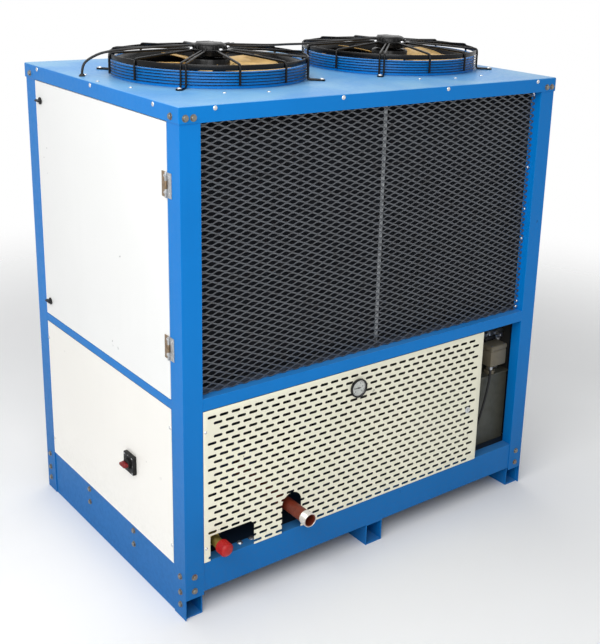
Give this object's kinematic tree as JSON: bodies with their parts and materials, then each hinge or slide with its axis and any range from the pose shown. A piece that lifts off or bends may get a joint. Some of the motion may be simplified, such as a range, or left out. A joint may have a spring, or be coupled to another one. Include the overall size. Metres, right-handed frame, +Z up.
{
  "type": "air-cooled water chiller",
  "caption": "Sheet-steel cabinet water chiller with axial fans in the lid, finned coils behind expanded metal, a hinged door and water connections in front.",
  "frame": {"origin": "on the floor under the centre of the cabinet, on the underside of the middle skid", "axes": "+Z up; -Y out of the front with the slotted panel and the pipes; +X to the right seen from the front, away from the door"},
  "size_m": [1.551, 1.146, 1.705],
  "materials": {
    "blue_paint": "satin",
    "white_paint": "satin",
    "cream_paint": "satin",
    "black_paint": "satin",
    "mesh_paint": "satin",
    "galvanised": "satin",
    "zinc": "satin",
    "fin_dark": "matte",
    "golden_blade": "satin",
    "pipe_paint": "satin",
    "brass": "satin",
    "copper": "satin",
    "red_plastic": "gloss",
    "black_plastic": "matte",
    "grey_plastic": "matte",
    "cable_rubber": "matte",
    "tank_plastic": "matte",
    "cast": "satin",
    "steel_bright": "satin",
    "glass": "gloss"
  },
  "bodies": {
    "cabinet": {"ball_valve": "brass", "base_tray": "blue_paint", "bay_cable": "cable_rubber", "coil_strips": "galvanised", "compressor": "black_paint", "control_box": "galvanised", "control_gear": "grey_plastic", "fan_guard_left": "black_paint", "fan_guard_right": "black_paint", "fan_motors": "black_paint", "fan_shrouds": "blue_paint", "frame_bolts": "zinc", "front_base_rail": "blue_paint", "front_coil": "fin_dark", "front_left_post": "blue_paint", "front_mesh": "mesh_paint", "front_mid_rail": "blue_paint", "front_right_post": "blue_paint", "gauge_case": "black_plastic", "gauge_glass": "glass", "inlet_fitting": "brass", "isolator_plate": "black_plastic", "left_skid": "blue_paint", "level_box": "grey_plastic", "lid": "blue_paint", "lower_left_panel": "white_paint", "middle_skid": "blue_paint", "motor_leads": "cable_rubber", "outlet_pipe": "pipe_paint", "panel_mullion": "blue_paint", "perforated_panel": "cream_paint", "plate_evaporator": "steel_bright", "plenum_deck": "galvanised", "post_hinge_leaves": "zinc", "pump": "cast", "rear_base_rail": "blue_paint", "rear_coil": "fin_dark", "rear_left_post": "blue_paint", "rear_lower_panel": "white_paint", "rear_mesh": "mesh_paint", "rear_mid_rail": "blue_paint", "rear_right_post": "blue_paint", "refrigerant_circuit": "copper", "right_lower_panel": "white_paint", "right_skid": "blue_paint", "right_upper_panel": "white_paint", "sheet_screws": "zinc", "side_bars": "blue_paint", "water_tank": "tank_plastic"},
    "door": {"door_panel": "white_paint", "door_hinge_leaves": "zinc"},
    "upper_latch": {"upper_latch": "black_plastic"},
    "lower_latch": {"lower_latch": "black_plastic"},
    "isolator_knob": {"isolator_knob": "red_plastic"},
    "gauge_needle": {"gauge_needle": "steel_bright"},
    "panel_lock": {"panel_lock": "steel_bright"},
    "impeller_left": {"impeller_left": "golden_blade"},
    "impeller_right": {"impeller_right": "golden_blade"},
    "fitting_cap": {"fitting_cap": "red_plastic"},
    "valve_lever": {"valve_lever": "steel_bright"}
  },
  "joints": [
    {"name": "door_swing", "type": "hinge", "parent": "cabinet", "child": "door", "pos_m": [-0.756, -0.4455, 1.131], "axis": [0, 0, 1], "range_deg": [0, 170]},
    {"name": "upper_latch_turn", "type": "hinge", "parent": "door", "child": "upper_latch", "pos_m": [-0.752, 0.4075, 1.485], "axis": [1, 0, 0], "range_deg": [0, 90]},
    {"name": "lower_latch_turn", "type": "hinge", "parent": "door", "child": "lower_latch", "pos_m": [-0.752, 0.4075, 0.778], "axis": [1, 0, 0], "range_deg": [0, 90]},
    {"name": "isolator_turn", "type": "hinge", "parent": "cabinet", "child": "isolator_knob", "pos_m": [-0.77, -0.183, 0.404], "axis": [-1, 0, 0], "range_deg": [0, 90]},
    {"name": "needle_sweep", "type": "hinge", "parent": "cabinet", "child": "gauge_needle", "pos_m": [-0.096, -0.521, 0.623], "axis": [0, 1, 0], "range_deg": [-45, 225]},
    {"name": "panel_lock_turn", "type": "hinge", "parent": "cabinet", "child": "panel_lock", "pos_m": [0.43, -0.517, 0.4], "axis": [0, 1, 0], "range_deg": [0, 90]},
    {"name": "fan_left_spin", "type": "hinge", "parent": "cabinet", "child": "impeller_left", "pos_m": [-0.345, 0, 1.6], "axis": [0, 0, 1], "continuous": true},
    {"name": "fan_right_spin", "type": "hinge", "parent": "cabinet", "child": "impeller_right", "pos_m": [0.42, 0, 1.6], "axis": [0, 0, 1], "continuous": true},
    {"name": "cap_pull", "type": "slide", "parent": "cabinet", "child": "fitting_cap", "axis": [0, -1, 0], "range_m": [0, 0.08]},
    {"name": "valve_turn", "type": "hinge", "parent": "cabinet", "child": "valve_lever", "pos_m": [0.676, -0.426, 0.612], "axis": [0, 1, 0], "range_deg": [0, 90]}
  ]
}
